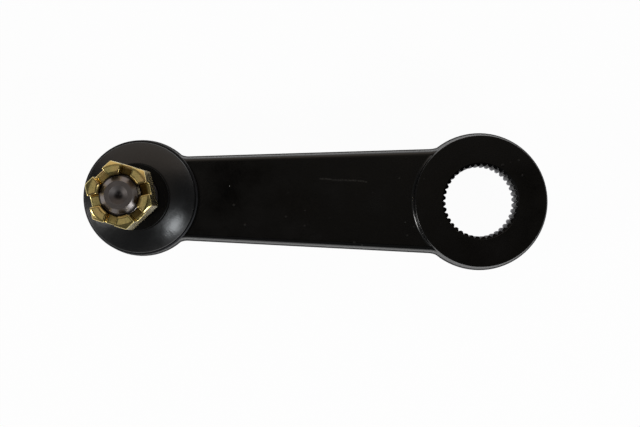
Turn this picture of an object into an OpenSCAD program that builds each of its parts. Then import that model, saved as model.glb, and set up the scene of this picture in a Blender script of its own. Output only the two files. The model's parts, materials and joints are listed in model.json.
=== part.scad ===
// Pitman arm: a forged steering arm with a serrated bore at one end and a ball joint at the other.
// The origin is the middle of the serrated bore, on the parting plane of the forging.
// +Z runs along the bore towards the stud side, and +X runs from the ball joint to the bore.

/* [Arm forging] */
// Distance between the bore axis and the ball joint axis
centre_distance = 140; // [120:1:180]
// Radius of the serrated boss at the parting line
boss_r = 28.2; // [27:0.1:32]
// Height of the serrated boss
boss_h = 28; // [26:0.5:32]
// Radius of the ball socket at the parting line
socket_r = 23.8; // [23:0.1:27]
// Thickness of the arm between the boss and the socket
web_t = 20; // [16:0.5:21]
// Width of the arm where its edges would cross the ball joint axis
web_w_ball = 32.9; // [28:0.1:36]
// Width of the arm where its edges would cross the bore axis
web_w_boss = 44.4; // [38:0.1:48]
// Radius along the long edges of the arm
web_edge_r = 1.8; // [1:0.1:3]
// Radius around the machined faces of the boss and the socket
boss_edge_r = 0.3; // [0.2:0.1:1.5]
// Draft angle of the forged walls
draft = 4.5; // [1:0.5:5]
// Height of the trimmed flash ridge on the parting line
flash_h = 1.6; // [1:0.1:2.5]
// Projection of the trimmed flash ridge
flash_w = 0.35; // [0.1:0.05:0.6]
// Radius of the fillet between the arm's edges and the boss
boss_fillet_r = 9; // [5:0.5:14]
// Radius of the fillet between the arm's edges and the socket
socket_fillet_r = 7; // [4:0.5:12]
// Radius of the fillet at the foot of the boss and the socket
foot_r = 1.6; // [0.8:0.1:1.9]

/* [Serrated bore] */
// Number of serrations
tooth_count = 40; // [24:1:44]
// Radius of the bore over the tips of the serrations
bore_tip_r = 14.5; // [13:0.1:17]
// Depth of each groove between two serrations
tooth_depth = 1.1; // [0.6:0.1:1.4]
// Width left on the tip of each serration
tooth_land = 0.85; // [0.75:0.05:1]
// Chamfer at both mouths of the bore
bore_chamfer = 1.4; // [0.5:0.1:2]

/* [Ball joint] */
// Radius of the ball
ball_r = 13.5; // [13.2:0.1:14.5]
// Radius of the flat under the ball
ball_flat_r = 8.6; // [7:0.1:9]
// Lean of the stud towards the free end of the arm
stud_lean = 4; // [0:0.5:10]
// Wall of the ball seats at the equator
seat_wall = 2.9; // [2.4:0.1:3.2]
// Height of the upper seat over the ball centre
seat_reach = 7; // [6:0.25:7.5]
// Width of the upper seat's end face
seat_rim = 2.3; // [1.8:0.1:2.5]
// Radius of the opening under the ball in the lower seat
seat_hole_r = 9; // [8.5:0.1:9.4]
// Thickness of the lower seat at that opening
seat_floor = 1.75; // [1.5:0.05:2.5]
// Gap between the two seats at the equator
seat_split = 0.6; // [0.4:0.1:1]
// Running clearance between the ball and its seats
ball_clearance = 0.05; // [0.02:0.01:0.1]
// Clearance between a seated piece and its pocket
fit_gap = 0.1; // [0.05:0.01:0.2]
// Height of the disc spring under the lower seat
spring_h = 1.8; // [1.6:0.1:2.4]
// Thickness of the disc spring
spring_t = 1; // [0.8:0.05:1.2]
// Inner radius of the disc spring
spring_in_r = 9.6; // [9:0.1:11]
// Thickness of the cover plate
cover_t = 2.4; // [2:0.1:3]
// Width of the step that the cover plate seats on
cover_step = 1.5; // [1:0.1:2]
// Thickness of the lip rolled over the cover plate
lip_t = 1.4; // [1:0.1:2]
// Width of the lip rolled over the cover plate
lip_w = 1.6; // [1:0.1:2]
// Radius of the narrowest part of the socket's mouth
throat_r = 12.8; // [12.5:0.1:13.2]
// Radius of the socket's mouth at its top
mouth_r = 15; // [14.6:0.1:15.5]
// Height of the flared mouth
mouth_h = 2.2; // [1.8:0.1:2.6]
// Height of the socket's shoulder over the arm's face
shoulder_rise = 1.28; // [1:0.02:2]
// Height of the spigot that holds the boot
spigot_h = 2.6; // [2.2:0.1:3.2]
// Width of the shoulder around that spigot
shoulder_w = 3.4; // [3.2:0.1:4.2]

/* [Stud] */
// Radius of the neck above the ball
neck_r = 7.25; // [6.5:0.05:7.4]
// Height of the straight neck's end over the ball centre
neck_top = 13; // [12.5:0.25:13.5]
// Height of the taper's large end over the ball centre
taper_start = 17.5; // [17:0.25:20]
// Radius of the taper's large end
taper_r = 9.5; // [9:0.1:10]
// Length of the tapered seat
taper_len = 24; // [18:0.5:28]
// Diameter lost per unit of length along the taper
taper_ratio = 0.125; // [0.1:0.005:0.14]
// Outer radius of the thread
thread_r = 8; // [7:0.25:8]
// Length from the taper's small end to the tip
thread_len = 26.5; // [25:0.5:34]
// Depth of the relief groove below the thread
relief_depth = 1.1; // [0.5:0.1:1.5]
// Length of the relief groove
relief_len = 3; // [2:0.5:4]
// Chamfer of the stud's tip
tip_chamfer = 2.4; // [1:0.1:3]
// Radius of the guard chamfer around the centre drilling
centre_guard_r = 3.7; // [2.8:0.1:3.9]
// Slope of that guard chamfer
centre_guard_angle = 30; // [20:1:40]
// Radius of the centre drilling in the tip
centre_r = 1.8; // [1:0.1:2.2]
// Depth of the centre drilling
centre_depth = 2.25; // [2:0.25:5]
// Radius of the split pin hole
pin_hole_r = 2; // [1.6:0.05:2.1]
// Distance from the tip to the split pin hole's axis
pin_hole_down = 4.6; // [4.2:0.1:6]

/* [Castle nut] */
// Width across the flats
nut_flats = 24; // [22:0.5:27]
// Height of the nut
nut_h = 20; // [18:0.5:22]
// Width of each slot
slot_w = 4.6; // [4.5:0.1:5.2]
// Depth of each slot
slot_depth = 7.2; // [7:0.1:9]
// Height of the lugs over the stud's tip
lug_over_tip = 0.6; // [0:0.1:1]
// Angle of the chamfer on the hexagon's corners
nut_chamfer_angle = 30; // [20:1:40]
// Width of the countersink at both ends of the thread
nut_countersink = 0.9; // [0.4:0.1:1.2]
// Turn of the nut's slots from the arm's own axis
nut_turn = 13.6; // [0:0.1:60]
// Clearance between the nut and the stud's thread
thread_gap = 0.05; // [0.02:0.01:0.1]

/* [Dust boot] */
// Width of the boot's rim around the spigot
boot_rim_w = 2.5; // [2.2:0.1:3.5]
// Height of the boot's rim over the shoulder
boot_rim_h = 5; // [4.8:0.1:7]
// Radius of the boot's rounded rim
boot_rim_round = 0.7; // [0.5:0.1:1.2]
// Height of the boot's lip over the shoulder
boot_h = 13; // [12:0.1:14]
// Radius of the boot's lip
boot_lip_r = 13.6; // [12.5:0.1:15]
// Thickness of the boot's lip at its edge
boot_lip_t = 1.2; // [0.8:0.1:1.6]
// Wall thickness of the boot
boot_wall = 1.9; // [1.5:0.1:2.4]
// Depth of the waist between the lip and the cone
boot_waist = 1.3; // [0.8:0.1:1.8]
// Step from the lip's edge out to the top of the cone
boot_step = 0.4; // [0.2:0.1:1.3]
// Outward bow of the cone's wall
boot_bow = 0.35; // [0:0.05:0.6]
// Wire radius of the ring around the boot's base
base_wire_r = 0.8; // [0.5:0.05:1]
// Wire radius of the ring around the boot's neck
neck_wire_r = 0.6; // [0.4:0.05:0.7]
// Gap between rubber and its neighbours
soft_gap = 0.25; // [0.15:0.05:0.3]

/* [Hidden] */
round_fn = 96;
edge_steps = 5;
arc_steps = 8;
boot_sides = 56;
past = 1;

// Arm forging
boss_top = boss_h / 2;
web_top = web_t / 2;
edge_slope = (web_w_boss - web_w_ball) / 2 / centre_distance;
edge_angle = atan(edge_slope);
blend_sink = 0.2;
blend_depth = 6;
foot_sink = 0.04;
bore_root_r = bore_tip_r + tooth_depth;
tooth_pitch = 360 / tooth_count;
groove_half_w = (2 * PI * bore_tip_r / tooth_count - tooth_land) / 2;
groove_mouth = groove_half_w * (tooth_depth + past) / tooth_depth;

// Ball joint stack, from the arm's upper face downwards
seat_in_r = ball_r + ball_clearance;
seat_r = ball_r + seat_wall;
socket_bore_r = seat_r + fit_gap;
cover_r = socket_bore_r + cover_step;
spigot_r = socket_r - shoulder_w;
shoulder_z = web_top + shoulder_rise;
socket_top = shoulder_z + spigot_h;
throat_z = socket_top - mouth_h;
seat_top_r = sqrt(pow(seat_in_r, 2) - pow(seat_reach, 2)) + seat_rim;
seat_top = throat_z + throat_r - seat_top_r - fit_gap;
shoulder_start = seat_top - (seat_r - seat_top_r);
ball_z = seat_top - seat_reach;
seat_low = ball_z - sqrt(pow(seat_in_r, 2) - pow(seat_hole_r, 2)) - seat_floor;
cover_high = seat_low - spring_h;
cover_low = cover_high - cover_t;
socket_depth = lip_t - cover_low;
socket_edge_r = min(boss_edge_r, shoulder_rise / 2);

// Stud, measured from the ball centre
taper_end = taper_start + taper_len;
taper_end_r = taper_r - taper_len * taper_ratio / 2;
stud_tip = taper_end + thread_len;
nut_top = stud_tip + lug_over_tip;
nut_corner_r = nut_flats / 2 / cos(30);

// Dust boot, measured from the shoulder
boot_in_r = spigot_r + soft_gap;
boot_rim_r = spigot_r + boot_rim_w;
boot_rim_from = -30;
boot_base_r = boot_rim_r - boot_rim_round / 2;
base_ring_z = boot_rim_h - boot_rim_round * 2 - base_wire_r - soft_gap;
boot_bore_r = taper_r + soft_gap;
neck_ring_r = boot_lip_r - boot_waist + neck_wire_r;
neck_ring_z = boot_h - boot_lip_t - neck_wire_r - soft_gap;
cone_top_z = neck_ring_z - neck_wire_r - soft_gap;
lean_from = boot_rim_h - boot_rim_round * 2;
lean_to = cone_top_z;

// Points [inset, height] up one forged wall: flash ridge, drafted wall and rounded edge
function wall_section(top, edge_r) =
    let (
        ridge = flash_h / 2,
        edge_in = edge_r * cos(draft) + (top - edge_r + edge_r * sin(draft)) * tan(draft)
    )
    concat(
        [
            [-flash_w, 0],
            [-flash_w, ridge],
            [(ridge + flash_w) * tan(draft), ridge + flash_w]
        ],
        [
            for (i = [0:edge_steps])
                let (a = draft + i * (90 - draft) / edge_steps)
                [edge_in - edge_r * cos(a), top - edge_r + edge_r * sin(a)]
        ]
    );

// The same wall from the lower face to the upper one
function full_section(low, high, edge_r) =
    let (
        below = wall_section(low, edge_r),
        above = wall_section(high, edge_r)
    )
    concat(
        [for (i = [len(below) - 1:-1:1]) [below[i].x, -below[i].y]],
        above
    );

// Points on an arc around a centre
function arc(centre, r, from, to) = [
    for (i = [0:arc_steps])
        let (a = from + i * (to - from) / arc_steps)
        centre + r * [cos(a), sin(a)]
];

// Centre of a fillet between the arm's edge and a circle at [x, 0], on the side given by sign
function fillet_centre(x, r, fillet_r, sign) =
    let (
        along = [cos(edge_angle), sin(edge_angle)],
        across = [-sin(edge_angle), cos(edge_angle)],
        reach = (web_w_ball / 2 + (x + centre_distance) * edge_slope) * cos(edge_angle) + fillet_r
    )
    [x, 0] + sign * sqrt(pow(r + fillet_r, 2) - pow(reach, 2)) * along + reach * across;

// Edge of the arm seen from above, from the socket to the boss
function arm_edge() =
    let (
        socket_circle = socket_r - blend_sink,
        boss_circle = boss_r - blend_sink,
        c1 = fillet_centre(-centre_distance, socket_circle, socket_fillet_r, 1),
        c2 = fillet_centre(0, boss_circle, boss_fillet_r, -1),
        to_socket = atan2(-c1.y, -centre_distance - c1.x),
        to_boss = atan2(-c2.y, -c2.x),
        to_edge = edge_angle - 90,
        first = arc(c1, socket_fillet_r, to_socket, to_edge),
        last = arc(c2, boss_fillet_r, to_edge, to_boss)
    )
    concat(
        [[first[0].x - blend_depth, first[0].y - blend_depth / 2]],
        first,
        last,
        [[last[arc_steps].x + blend_depth, last[arc_steps].y - blend_depth / 2]]
    );

// Solid skinned over rings of points, with flat ends or joined into a loop
module skin(rings, closed = false) {
    count = len(rings);
    sides = len(rings[0]);
    points = [for (ring = rings) each ring];
    walls = [
        for (i = [0:closed ? count - 1 : count - 2], j = [0:sides - 1])
            let (
                n = (i + 1) % count,
                k = (j + 1) % sides
            )
            each [
                [i * sides + j, n * sides + j, n * sides + k],
                [i * sides + j, n * sides + k, i * sides + k]
            ]
    ];
    ends = closed ? [] : [
        [for (j = [0:sides - 1]) j],
        [for (j = [sides - 1:-1:0]) (count - 1) * sides + j]
    ];
    polyhedron(points, concat(walls, ends));
}

// Places its children at the ball centre
module at_ball() {
    translate([-centre_distance, 0, ball_z]) children();
}

// Places its children on the leaning axis of the stud
module on_stud() {
    at_ball() rotate([0, -stud_lean, 0]) children();
}

// Forged body turned around an upright axis
module forged_round(r, low, high, edge_r) {
    wall = [for (p = full_section(low, high, edge_r)) [r - p.x, p.y]];
    rotate_extrude($fn = round_fn) polygon(concat([[0, -low]], wall, [[0, high]]));
}

// Tapering bar between the boss and the socket, skinned along its length
module web() {
    section = full_section(web_top, web_top, web_edge_r);
    rings = [
        for (p = arm_edge())
            concat(
                [for (s = section) [p.x, p.y - s.x, s.y]],
                [for (i = [len(section) - 1:-1:0]) [p.x, section[i].x - p.y, section[i].y]]
            )
    ];
    skin(rings);
}

// Concave fillet on the arm's face around a drafted round wall, limited by the wall's height
module foot(r, wall_h) {
    fillet_r = min(foot_r, wall_h / 2);
    rise = web_top + fillet_r - foot_sink;
    centre = [r - rise * tan(draft) + fillet_r / cos(draft) - foot_sink, rise];
    curve = arc(centre, fillet_r, 180 + draft, 270);
    rotate_extrude($fn = round_fn) polygon(concat(
        curve,
        [
            [centre.x, web_top - fillet_r],
            [curve[0].x - fillet_r, web_top - fillet_r],
            [curve[0].x - fillet_r, curve[0].y]
        ]
    ));
}

// Foot fillets of the boss and the socket on the arm's upper face
module foot_pair(socket_wall_h) {
    intersection() {
        web_face();
        union() {
            foot(boss_r, boss_top - web_top);
            translate([-centre_distance, 0, 0]) foot(socket_r, socket_wall_h);
        }
    }
}

// Flat part of the arm's upper face, where the foot fillets stand
module web_face() {
    inset = wall_section(web_top, web_edge_r)[edge_steps + 3].x + blend_sink;
    linear_extrude(height = web_t) polygon([
        [-centre_distance, web_w_ball / 2 - inset],
        [0, web_w_boss / 2 - inset],
        [0, inset - web_w_boss / 2],
        [-centre_distance, inset - web_w_ball / 2]
    ]);
}

// Serrated through bore with chamfered mouths
module serrated_bore() {
    cylinder(r = bore_tip_r, h = boss_h + past * 2, center = true, $fn = round_fn);
    for (i = [0:tooth_count - 1])
        rotate(i * tooth_pitch) linear_extrude(height = boss_h + past * 2, center = true) polygon([
            [bore_tip_r - past, -groove_mouth],
            [bore_root_r, 0],
            [bore_tip_r - past, groove_mouth]
        ]);
    for (side = [0, 1])
        mirror([0, 0, side]) translate([0, 0, boss_top - bore_chamfer])
            cylinder(
                r1 = bore_tip_r,
                r2 = bore_tip_r + bore_chamfer + past,
                h = bore_chamfer + past,
                $fn = round_fn
            );
}

// Turned inside of the socket: rolled lip, cover pocket, seat bore, shoulder and flared mouth
module socket_inside() {
    rotate_extrude($fn = round_fn) polygon([
        [0, -socket_depth - past],
        [cover_r - lip_w, -socket_depth - past],
        [cover_r - lip_w, cover_low],
        [cover_r + fit_gap, cover_low],
        [cover_r + fit_gap, cover_high],
        [socket_bore_r, cover_high],
        [socket_bore_r, shoulder_start],
        [throat_r, throat_z],
        [mouth_r, socket_top],
        [mouth_r, socket_top + past],
        [0, socket_top + past]
    ]);
}

module arm() {
    color("#1b1b1c") difference() {
        union() {
            forged_round(boss_r, boss_top, boss_top, boss_edge_r);
            web();
            translate([-centre_distance, 0, 0]) {
                forged_round(socket_r, socket_depth, shoulder_z, socket_edge_r);
                cylinder(r = spigot_r, h = socket_top, $fn = round_fn);
            }
            foot_pair(shoulder_rise);
            mirror([0, 0, 1]) foot_pair(socket_depth - web_top);
        }
        serrated_bore();
        translate([-centre_distance, 0, 0]) socket_inside();
    }
}

module ball_stud() {
    color("#5d5957") on_stud() difference() {
        union() {
            difference() {
                sphere(r = ball_r, $fn = round_fn);
                translate([0, 0, -sqrt(pow(ball_r, 2) - pow(ball_flat_r, 2)) - ball_r])
                    cylinder(r = ball_r, h = ball_r, $fn = round_fn);
            }
            rotate_extrude($fn = round_fn) polygon([
                [0, 0],
                [neck_r, 0],
                [neck_r, neck_top],
                [taper_r, taper_start - past],
                [taper_r, taper_start],
                [taper_end_r, taper_end],
                [thread_r - relief_depth, taper_end],
                [thread_r - relief_depth, taper_end + relief_len],
                [thread_r, taper_end + relief_len + relief_depth],
                [thread_r, stud_tip - tip_chamfer],
                [thread_r - tip_chamfer, stud_tip],
                [centre_guard_r, stud_tip],
                [centre_r, stud_tip - (centre_guard_r - centre_r) * tan(centre_guard_angle)],
                [0, stud_tip - centre_depth]
            ]);
        }
        translate([0, 0, stud_tip - pin_hole_down]) rotate([90, 0, nut_turn - 90])
            cylinder(r = pin_hole_r, h = thread_r * 4, center = true, $fn = round_fn);
    }
}

module upper_ball_seat() {
    color("#d9d6cc") translate([-centre_distance, 0, 0]) difference() {
        rotate_extrude($fn = round_fn) polygon([
            [0, ball_z + seat_split / 2],
            [seat_r, ball_z + seat_split / 2],
            [seat_r, shoulder_start],
            [seat_top_r, seat_top],
            [0, seat_top]
        ]);
        translate([0, 0, ball_z]) sphere(r = seat_in_r, $fn = round_fn);
    }
}

module lower_ball_seat() {
    color("#d9d6cc") translate([-centre_distance, 0, 0]) difference() {
        translate([0, 0, seat_low])
            cylinder(r = seat_r, h = ball_z - seat_split / 2 - seat_low, $fn = round_fn);
        translate([0, 0, ball_z]) sphere(r = seat_in_r, $fn = round_fn);
        translate([0, 0, seat_low - past]) cylinder(r = seat_hole_r, h = ball_z - seat_low, $fn = round_fn);
    }
}

module disc_spring() {
    color("#7f8285") translate([-centre_distance, 0, cover_high]) rotate_extrude($fn = round_fn) polygon([
        [spring_in_r, spring_h - spring_t],
        [seat_r, 0],
        [seat_r, spring_t],
        [spring_in_r, spring_h]
    ]);
}

module cover_plate() {
    dish_r = seat_hole_r;
    dish_depth = cover_t / 4;
    color("#8f9296") translate([-centre_distance, 0, cover_low]) difference() {
        cylinder(r = cover_r, h = cover_t, $fn = round_fn);
        translate([0, 0, -past])
            cylinder(r1 = dish_r + dish_depth + past, r2 = dish_r, h = dish_depth + past, $fn = round_fn);
    }
}

// Closed outline of the boot's wall as [radius, height], up the outside and back down the inside
function boot_outline() =
    let (
        base_groove = base_wire_r + soft_gap,
        neck_groove = neck_wire_r + soft_gap,
        rim_centre = [boot_rim_r - boot_rim_round, boot_rim_h - boot_rim_round],
        cone_top = [boot_lip_r + boot_step, cone_top_z],
        to_top = cone_top - rim_centre,
        rim_end = atan2(to_top.y, to_top.x) - acos(boot_rim_round / norm(to_top)),
        outward = [cos(rim_end), sin(rim_end)],
        cone_foot = rim_centre + boot_rim_round * outward,
        inward = -boot_wall * outward,
        turn = (rim_end - boot_rim_from) / 4
    )
    concat(
        [[boot_in_r, soft_gap], [boot_base_r, soft_gap]],
        [
            for (a = [-60:40:60])
                [boot_base_r + soft_gap - base_groove * cos(a), base_ring_z + base_groove * sin(a)]
        ],
        [
            for (a = [boot_rim_from:turn:rim_end - turn / 2])
                rim_centre + boot_rim_round * [cos(a), sin(a)]
        ],
        [
            for (s = [0:1 / 4:1])
                cone_foot + (cone_top - cone_foot) * s + outward * boot_bow * 4 * s * (1 - s)
        ],
        [
            for (a = [-60:40:60])
                [neck_ring_r - neck_groove * cos(a), neck_ring_z + neck_groove * sin(a)]
        ],
        [
            [boot_lip_r, boot_h - boot_lip_t],
            [boot_lip_r, boot_h - boot_lip_t / 4],
            [boot_lip_r - boot_lip_t / 4, boot_h],
            [boot_bore_r, boot_h],
            [boot_bore_r, cone_top_z - boot_wall / 2],
            cone_top + inward,
            (cone_foot + cone_top) / 2 + inward,
            [boot_in_r, spigot_h + soft_gap * 2]
        ]
    );

// Share of the stud's lean that the rubber takes at a height
function lean_share(z) =
    let (s = min(1, max(0, (z - lean_from) / (lean_to - lean_from))))
    s * s * (3 - 2 * s);

// One ring of the boot, turned about the ball centre with the rubber's share of the lean
function boot_ring(p) =
    let (
        tilt = -stud_lean * lean_share(p.y),
        rise = p.y + shoulder_z - ball_z
    )
    [
        for (i = [0:boot_sides - 1])
            let (
                x = p.x * cos(i * 360 / boot_sides),
                y = p.x * sin(i * 360 / boot_sides)
            )
            [x * cos(tilt) + rise * sin(tilt), y, rise * cos(tilt) - x * sin(tilt)]
    ];

module dust_boot() {
    color("#2f2e2d") at_ball() skin([for (p = boot_outline()) boot_ring(p)], closed = true);
}

// Round wire bent into a ring
module wire_ring(r, wire_r) {
    rotate_extrude($fn = round_fn) translate([r, 0]) circle(r = wire_r, $fn = round_fn);
}

module boot_base_ring() {
    color("#2b2c2e") translate([-centre_distance, 0, shoulder_z + base_ring_z])
        wire_ring(boot_base_r + soft_gap, base_wire_r);
}

module boot_neck_ring() {
    color("#2b2c2e") on_stud() translate([0, 0, shoulder_z + neck_ring_z - ball_z])
        wire_ring(neck_ring_r, neck_wire_r);
}

// Hexagon slotted nut with chamfered corners and countersunk ends
module castle_nut() {
    cone_r = nut_corner_r + past;
    cone_fall = (cone_r - nut_flats / 2) * tan(nut_chamfer_angle);
    color("#b99b45") on_stud() translate([0, 0, nut_top - nut_h]) rotate(nut_turn) difference() {
        intersection() {
            rotate(30) cylinder(r = nut_corner_r, h = nut_h, $fn = 6);
            rotate_extrude($fn = round_fn) polygon([
                [0, 0],
                [nut_flats / 2, 0],
                [cone_r, cone_fall],
                [cone_r, nut_h - cone_fall],
                [nut_flats / 2, nut_h],
                [0, nut_h]
            ]);
        }
        translate([0, 0, -past]) cylinder(r = thread_r + thread_gap, h = nut_h + past * 2, $fn = round_fn);
        for (side = [0, 1])
            translate([0, 0, side * nut_h]) mirror([0, 0, side]) translate([0, 0, -past])
                cylinder(
                    r1 = thread_r + nut_countersink + past,
                    r2 = thread_r - past,
                    h = nut_countersink + past * 2,
                    $fn = round_fn
                );
        for (turn = [0:60:120])
            rotate(turn) translate([-nut_corner_r * 2, -slot_w / 2, nut_h - slot_depth])
                cube([nut_corner_r * 4, slot_w, slot_depth + past]);
    }
}

arm();
ball_stud();
upper_ball_seat();
lower_ball_seat();
disc_spring();
cover_plate();
dust_boot();
boot_base_ring();
boot_neck_ring();
castle_nut();
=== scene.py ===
"""Looks of a pitman arm: painted forging, turned and threaded stud, slotted nut and rubber boot."""

import json
import math

import bmesh
import bpy
from mathutils import Matrix, Vector


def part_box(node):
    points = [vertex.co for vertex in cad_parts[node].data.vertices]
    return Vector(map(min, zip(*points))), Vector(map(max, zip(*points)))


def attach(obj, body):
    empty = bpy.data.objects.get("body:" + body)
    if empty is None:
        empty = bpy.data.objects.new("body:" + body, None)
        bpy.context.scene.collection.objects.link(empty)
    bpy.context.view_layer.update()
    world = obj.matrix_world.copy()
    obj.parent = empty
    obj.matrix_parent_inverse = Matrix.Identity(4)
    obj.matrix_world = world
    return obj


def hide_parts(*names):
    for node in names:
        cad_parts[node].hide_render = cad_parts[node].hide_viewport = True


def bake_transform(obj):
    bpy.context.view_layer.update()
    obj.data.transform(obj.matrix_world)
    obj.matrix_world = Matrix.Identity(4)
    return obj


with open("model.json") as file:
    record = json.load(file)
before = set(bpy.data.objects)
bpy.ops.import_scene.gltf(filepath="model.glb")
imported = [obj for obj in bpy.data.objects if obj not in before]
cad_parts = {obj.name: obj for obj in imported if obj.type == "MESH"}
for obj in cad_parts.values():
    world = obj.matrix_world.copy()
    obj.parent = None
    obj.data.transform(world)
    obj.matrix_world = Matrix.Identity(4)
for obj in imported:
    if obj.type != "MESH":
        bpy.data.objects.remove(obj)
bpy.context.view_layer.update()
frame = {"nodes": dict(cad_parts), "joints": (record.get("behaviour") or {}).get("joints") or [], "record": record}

bl_info = {
    "name": "Pitman Arm",
    "version": (1, 0, 0),
    "blender": (4, 5, 0),
    "location": "View3D > Sidebar > Pitman Arm",
    "description": "Dresses the pitman arm with its painted forging, stud, nut, boot and studio",
    "category": "Object",
}

# Places that come from the frame
JOINTS = {joint["name"]: joint for joint in frame["joints"]}
BALL_CENTRE = Vector(JOINTS["stud_spin"]["pos_m"])
STUD_AXIS = Vector(JOINTS["stud_spin"]["axis"]).normalized()
STUD_LEAN = math.atan2(STUD_AXIS.x, STUD_AXIS.z)
ARM_LOW, ARM_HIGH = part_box("arm")
BOOT_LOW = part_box("dust_boot")[0]
STUD_LOW, STUD_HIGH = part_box("ball_stud")
MOUNTS = {mount["name"]: mount for mount in frame["record"]["mounts"]}
BORE_RADIUS = MOUNTS["serrated_bore"]["dims"]["r_mm"] / 1000
PIN_MOUNT = MOUNTS["split_pin_hole"]
PIN_CENTRE = Vector(PIN_MOUNT["pos_m"])
PIN_AXIS = Vector(PIN_MOUNT["axis"])
PIN_RADIUS = PIN_MOUNT["dims"]["r_mm"] / 1000

# Width of the photo in pixels, and width of the camera's sensor in millimetres
PHOTO_W, SENSOR_W = 640, 36.0
# Name of the collection that the large soft box doesn't light
SPARED = "spared_by_soft_box"
# Distance below which two points of a mesh are one
MERGE = 1e-6
# Angle between two faces above which their edge stays sharp, on metal and on the boot
SHARP_ANGLE, BOOT_SHARP_ANGLE = math.radians(32), math.radians(50)
# Height over the parting plane within which the trimmed flash lies
FLASH_HEIGHT = 0.0013
# How far the serrations reach out beyond the bore's radius
TOOTH_REACH = 0.0013
# Gap between the socket's shoulder and the foot of the boot
BOOT_FIT = 0.00025
# How far the base ring's groove is let into the boot
RING_SINK = 0.0008
# Height of the small chamfers where the stud's taper ends and its groove starts
TAPER_EDGE = 0.0004
# Height of the straight band under the stud's taper
TAPER_FOOT = 0.001
# Depth of the thread, its crest's flat and its root's flat, as shares of its pitch
THREAD_DEPTH, CREST_FLAT, ROOT_FLAT = 0.61, 1 / 8, 1 / 4
# Ends and half width of the scratch in the paint
SCRATCH = ((-0.0662, 0.0088, 0.01), (-0.0472, 0.0076, 0.01), 0.0005)
# How far the painted shade on the stud's thread crests reaches down from the tip, under the nut's lugs
THREAD_SHADE_REACH = 0.006
# How far under the thread's outer radius that painted shade starts, and where it is full
THREAD_SHADE_START, THREAD_SHADE_FULL = 0.0009, 0.0003
# Where the nut's painted shade starts and is full: over the slots' floors, inside the flats, outside the thread
NUT_SHADE_FLOOR, NUT_SHADE_FLATS, NUT_SHADE_THREAD = (0.003, 0.0005), (0.0003, 0.0016), (0.0014, 0.0006)
# Direction from the stud's axis toward the side of the nut that the painted shade darkens most
NUT_SHADE_SIDE = (0.95, 0.3, 0.0)
# Ends of the stretch along that direction, and the painted shade's share at both
NUT_SHADE_STRETCH = (-0.009, 0.008, 0.12, 0.97)
# Black and white with full alpha
BLACK, WHITE = (0.0, 0.0, 0.0, 1.0), (1.0, 1.0, 1.0, 1.0)


# Settings

def length_setting(name, description, default):
    """A size or a place in metres."""
    return bpy.props.FloatProperty(name=name, description=description, default=default, unit="LENGTH")


def angle_setting(name, description, degrees):
    """A turn or a slope, whose default is given in degrees."""
    default = math.radians(degrees)
    return bpy.props.FloatProperty(name=name, description=description, default=default, subtype="ANGLE")


def colour_setting(name, description, default):
    """A colour."""
    return bpy.props.FloatVectorProperty(
        name=name, description=description, default=default, subtype="COLOR"
    )


class StageSettings(bpy.types.PropertyGroup):
    """Camera and floor."""

    target: bpy.props.FloatVectorProperty(
        name="Target",
        description="Point in the middle of the picture",
        default=(-0.0662, -0.00565, 0.0),
        subtype="XYZ",
        unit="LENGTH",
    )
    distance: length_setting("Distance", "Distance from the camera to that point", 1.05)
    tilt: angle_setting("Tilt", "Lean of the view away from straight down", 0.55)
    roll: angle_setting("Roll", "Turn of the camera about its own line of sight", 0.62)
    focal_px: bpy.props.FloatProperty(
        name="Focal length", description="Focal length of the lens in pixels of the picture", default=2519.0
    )
    floor_size: length_setting("Floor", "Side of the floor", 8.0)
    floor_white: bpy.props.FloatProperty(
        name="Floor white",
        description="Share of the floor's look that stays white in the shadow",
        default=0.97,
        subtype="FACTOR",
    )


class PaintSettings(bpy.types.PropertyGroup):
    """Gloss paint on the forging."""

    colour: colour_setting("Colour", "Colour of the paint", (0.0016, 0.0015, 0.0014))
    bore_steel: colour_setting("Bore steel", "Colour of the bare serrations", (0.21, 0.205, 0.235))


class StudSettings(bpy.types.PropertyGroup):
    """Turned ball stud. Heights are over the ball centre, along the stud."""

    ball_radius: length_setting("Ball radius", "Radius of the ball", (STUD_HIGH.y - STUD_LOW.y) / 2)
    ball_flat: length_setting("Ball flat", "Radius of the flat under the ball", 0.0086)
    neck_radius: length_setting("Neck radius", "Radius of the neck over the ball", 0.00725)
    neck_top: length_setting("Neck top", "Height of the straight neck's end", 0.013)
    taper_low: length_setting("Taper foot", "Height of the taper's large end", 0.0175)
    taper_high: length_setting("Taper top", "Height of the taper's small end", 0.0415)
    taper_low_radius: length_setting("Taper foot radius", "Radius of the taper's large end", 0.0095)
    thread_radius: length_setting("Thread radius", "Outer radius of the thread", 0.008)
    thread_pitch: length_setting("Thread pitch", "Rise of one turn of the thread", 0.0015)
    relief_depth: length_setting("Relief depth", "Depth of the groove below the thread", 0.0011)
    relief_length: length_setting("Relief length", "Length of the groove below the thread", 0.003)
    tip: length_setting("Tip", "Height of the stud's tip", 0.068)
    tip_chamfer: length_setting("Tip chamfer", "Chamfer around the tip", 0.0024)
    guard_radius: length_setting("Guard radius", "Radius of the chamfer around the drilling", 0.0037)
    guard_angle: angle_setting("Guard angle", "Slope of the chamfer around the drilling", 30)
    centre_radius: length_setting("Centre radius", "Radius of the centre drilling", 0.0018)
    centre_depth: length_setting("Centre depth", "Depth of the centre drilling", 0.00225)
    steel: colour_setting("Steel", "Colour of the turned steel", (0.22, 0.198, 0.19))


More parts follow.
